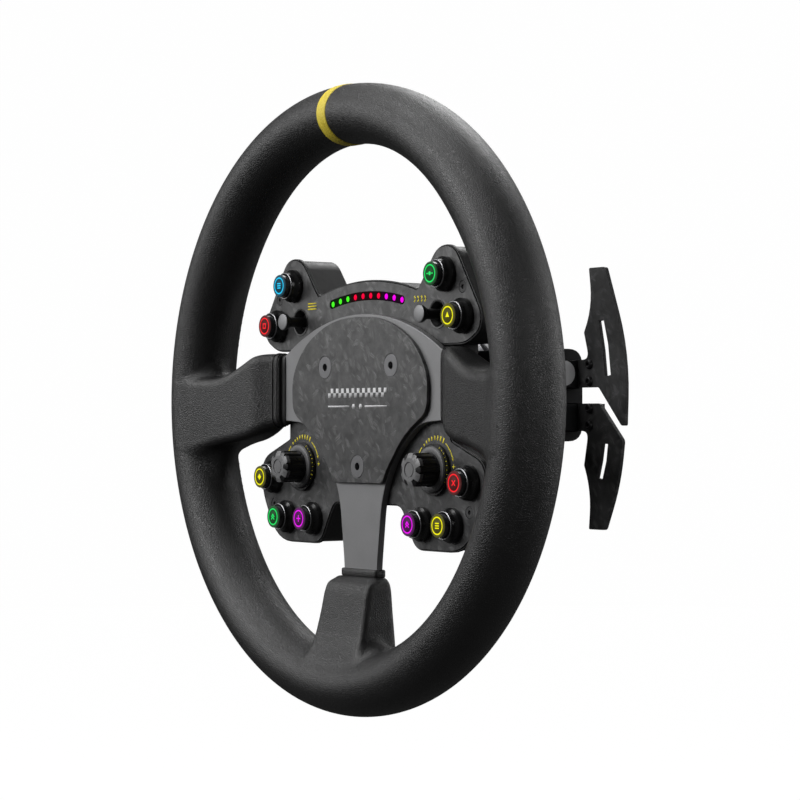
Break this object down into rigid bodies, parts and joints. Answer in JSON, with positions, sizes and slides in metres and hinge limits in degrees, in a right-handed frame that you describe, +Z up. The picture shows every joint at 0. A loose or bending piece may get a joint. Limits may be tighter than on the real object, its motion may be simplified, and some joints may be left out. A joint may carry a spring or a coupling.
{
  "type": "racing wheel",
  "caption": "Round sim-racing steering wheel with a leather rim, a carbon button plate, thumb sticks, rotary knobs, shift and clutch paddles and a quick release.",
  "frame": {"origin": "centre of the quick release's mouth, on the wheel's axis", "axes": "+X to the driver's right, +Y along the column away from the driver, +Z up with the wheel straight"},
  "size_m": [0.33, 0.111, 0.33],
  "materials": {
    "leather": "smooth fine-grain charcoal leather, satin",
    "stripe": "yellow leather centring band",
    "foam": "moulded polyurethane foam",
    "anodised_frame": "bead-blasted gun-metal anodised plate",
    "carbon": "forged carbon composite, satin, with irregular flakes",
    "bolt_steel": "countersunk steel bolt",
    "black_steel": "black oxide screw",
    "black_plastic": "fine-textured black moulding",
    "bezel_plastic": "black anodised bezel",
    "circuit_board": "solder-masked board",
    "switch_plastic": "switch body",
    "pressed_steel": "plated steel",
    "dark_window": "smoked window",
    "light_guide": "clear light guides, lit green, red and magenta",
    "black_alloy": "black anodised aluminium",
    "polished_disc": "satin bright disc let into the shift paddle's arm",
    "magnet": "nickel-plated magnet",
    "bare_alloy": "machined aluminium",
    "contact_brass": "contact block with gilt pins",
    "collar_alloy": "dark anodised knurled collar",
    "button_cap": "dark cap with a lit ring",
    "stick_alloy": "satin thumb stick",
    "knob_plastic": "fluted black knob",
    "knob_cap_plastic": "grey knob cap"
  },
  "bodies": {
    "wheel": {"rim_frame": "anodised_frame", "rim_foam": "foam", "rim_leather": "leather", "spoke_wraps": "leather", "top_stripe": "stripe", "center_cover": "carbon", "hub_bolts": "bolt_steel", "button_plate": "carbon", "plate_screws": "black_steel", "rear_housing": "black_plastic", "main_board": "circuit_board", "button_bezels": "bezel_plastic", "button_switches": "switch_plastic", "stick_dishes": "bezel_plastic", "stick_sockets": "pressed_steel", "encoders": "pressed_steel", "light_strip": "dark_window", "shift_lights": "light_guide", "hub_spacer": "black_alloy", "paddle_bracket": "black_alloy", "paddle_housings": "black_alloy", "paddle_pins": "pressed_steel", "paddle_magnets": "magnet", "qr_body": "bare_alloy", "qr_balls": "pressed_steel", "qr_contacts": "contact_brass", "qr_spring": "pressed_steel"},
    "release_collar": {"qr_collar": "collar_alloy"},
    "left_button_top": {"left_button_top": "button_cap"},
    "left_button_upper": {"left_button_upper": "button_cap"},
    "left_button_lower": {"left_button_lower": "button_cap"},
    "left_button_corner": {"left_button_corner": "button_cap"},
    "left_button_inner": {"left_button_inner": "button_cap"},
    "right_button_top": {"right_button_top": "button_cap"},
    "right_button_upper": {"right_button_upper": "button_cap"},
    "right_button_lower": {"right_button_lower": "button_cap"},
    "right_button_corner": {"right_button_corner": "button_cap"},
    "right_button_inner": {"right_button_inner": "button_cap"},
    "left_gimbal": {"left_stick_gimbal": "pressed_steel"},
    "left_pivot_block": {"left_stick_pivot": "pressed_steel"},
    "left_thumb_stick": {"left_stick": "stick_alloy"},
    "left_dial": {"left_knob": "knob_plastic", "left_knob_cap": "knob_cap_plastic"},
    "left_shift_paddle": {"left_shift_arm": "black_alloy", "left_shift_disc": "polished_disc", "left_shift_blade": "carbon", "left_shift_screws": "black_steel"},
    "left_clutch_paddle": {"left_clutch_arm": "black_alloy", "left_clutch_blade": "carbon", "left_clutch_screws": "black_steel"},
    "right_gimbal": {"right_stick_gimbal": "pressed_steel"},
    "right_pivot_block": {"right_stick_pivot": "pressed_steel"},
    "right_thumb_stick": {"right_stick": "stick_alloy"},
    "right_dial": {"right_knob": "knob_plastic", "right_knob_cap": "knob_cap_plastic"},
    "right_shift_paddle": {"right_shift_arm": "black_alloy", "right_shift_disc": "polished_disc", "right_shift_blade": "carbon", "right_shift_screws": "black_steel"},
    "right_clutch_paddle": {"right_clutch_arm": "black_alloy", "right_clutch_blade": "carbon", "right_clutch_screws": "black_steel"}
  },
  "joints": [
    {"name": "release_collar_slide", "type": "slide", "parent": "wheel", "child": "release_collar", "axis": [0, -1, 0], "range_m": [0, 0.005], "stiffness_N_per_m": 2000, "springref_m": -0.004, "deforming": ["qr_spring"]},
    {"name": "left_button_top_press", "type": "slide", "parent": "wheel", "child": "left_button_top", "axis": [0, 1, 0], "range_m": [0, 0.0015], "stiffness_N_per_m": 800, "springref_m": -0.0005},
    {"name": "left_button_upper_press", "type": "slide", "parent": "wheel", "child": "left_button_upper", "axis": [0, 1, 0], "range_m": [0, 0.0015], "stiffness_N_per_m": 800, "springref_m": -0.0005},
    {"name": "left_button_lower_press", "type": "slide", "parent": "wheel", "child": "left_button_lower", "axis": [0, 1, 0], "range_m": [0, 0.0015], "stiffness_N_per_m": 800, "springref_m": -0.0005},
    {"name": "left_button_corner_press", "type": "slide", "parent": "wheel", "child": "left_button_corner", "axis": [0, 1, 0], "range_m": [0, 0.0015], "stiffness_N_per_m": 800, "springref_m": -0.0005},
    {"name": "left_button_inner_press", "type": "slide", "parent": "wheel", "child": "left_button_inner", "axis": [0, 1, 0], "range_m": [0, 0.0015], "stiffness_N_per_m": 800, "springref_m": -0.0005},
    {"name": "right_button_top_press", "type": "slide", "parent": "wheel", "child": "right_button_top", "axis": [0, 1, 0], "range_m": [0, 0.0015], "stiffness_N_per_m": 800, "springref_m": -0.0005},
    {"name": "right_button_upper_press", "type": "slide", "parent": "wheel", "child": "right_button_upper", "axis": [0, 1, 0], "range_m": [0, 0.0015], "stiffness_N_per_m": 800, "springref_m": -0.0005},
    {"name": "right_button_lower_press", "type": "slide", "parent": "wheel", "child": "right_button_lower", "axis": [0, 1, 0], "range_m": [0, 0.0015], "stiffness_N_per_m": 800, "springref_m": -0.0005},
    {"name": "right_button_corner_press", "type": "slide", "parent": "wheel", "child": "right_button_corner", "axis": [0, 1, 0], "range_m": [0, 0.0015], "stiffness_N_per_m": 800, "springref_m": -0.0005},
    {"name": "right_button_inner_press", "type": "slide", "parent": "wheel", "child": "right_button_inner", "axis": [0, 1, 0], "range_m": [0, 0.0015], "stiffness_N_per_m": 800, "springref_m": -0.0005},
    {"name": "left_stick_up_down", "type": "hinge", "parent": "wheel", "child": "left_gimbal", "pos_m": [-0.063, -0.0735, 0.0428], "axis": [1, 0, 0], "range_deg": [-10, 10], "stiffness_Nm_per_rad": 0.05},
    {"name": "left_stick_left_right", "type": "hinge", "parent": "left_gimbal", "child": "left_pivot_block", "pos_m": [-0.063, -0.0735, 0.0428], "axis": [0, 0, 1], "range_deg": [-10, 10], "stiffness_Nm_per_rad": 0.05},
    {"name": "left_stick_push", "type": "slide", "parent": "left_pivot_block", "child": "left_thumb_stick", "axis": [0, 1, 0], "range_m": [0, 0.0006], "stiffness_N_per_m": 1500, "springref_m": -0.0003},
    {"name": "left_knob_turn", "type": "hinge", "parent": "wheel", "child": "left_dial", "pos_m": [-0.0609, -0.086, -0.0357], "axis": [0, 1, 0], "continuous": true},
    {"name": "left_shift_pull", "type": "hinge", "parent": "wheel", "child": "left_shift_paddle", "pos_m": [-0.086, -0.028, 0.002], "axis": [0, 0, 1], "range_deg": [0, 6], "stiffness_Nm_per_rad": 2, "springref_deg": -5.73},
    {"name": "left_clutch_pull", "type": "hinge", "parent": "wheel", "child": "left_clutch_paddle", "pos_m": [-0.086, -0.028, 0.002], "axis": [0, 0, 1], "range_deg": [0, 14], "stiffness_Nm_per_rad": 1.2, "springref_deg": -5.73},
    {"name": "right_stick_up_down", "type": "hinge", "parent": "wheel", "child": "right_gimbal", "pos_m": [0.063, -0.0735, 0.0428], "axis": [1, 0, 0], "range_deg": [-10, 10], "stiffness_Nm_per_rad": 0.05},
    {"name": "right_stick_left_right", "type": "hinge", "parent": "right_gimbal", "child": "right_pivot_block", "pos_m": [0.063, -0.0735, 0.0428], "axis": [0, 0, 1], "range_deg": [-10, 10], "stiffness_Nm_per_rad": 0.05},
    {"name": "right_stick_push", "type": "slide", "parent": "right_pivot_block", "child": "right_thumb_stick", "axis": [0, 1, 0], "range_m": [0, 0.0006], "stiffness_N_per_m": 1500, "springref_m": -0.0003},
    {"name": "right_knob_turn", "type": "hinge", "parent": "wheel", "child": "right_dial", "pos_m": [0.0609, -0.086, -0.0357], "axis": [0, 1, 0], "continuous": true},
    {"name": "right_shift_pull", "type": "hinge", "parent": "wheel", "child": "right_shift_paddle", "pos_m": [0.086, -0.028, 0.002], "axis": [0, 0, -1], "range_deg": [0, 6], "stiffness_Nm_per_rad": 2, "springref_deg": -5.73},
    {"name": "right_clutch_pull", "type": "hinge", "parent": "wheel", "child": "right_clutch_paddle", "pos_m": [0.086, -0.028, 0.002], "axis": [0, 0, -1], "range_deg": [0, 14], "stiffness_Nm_per_rad": 1.2, "springref_deg": -5.73}
  ]
}
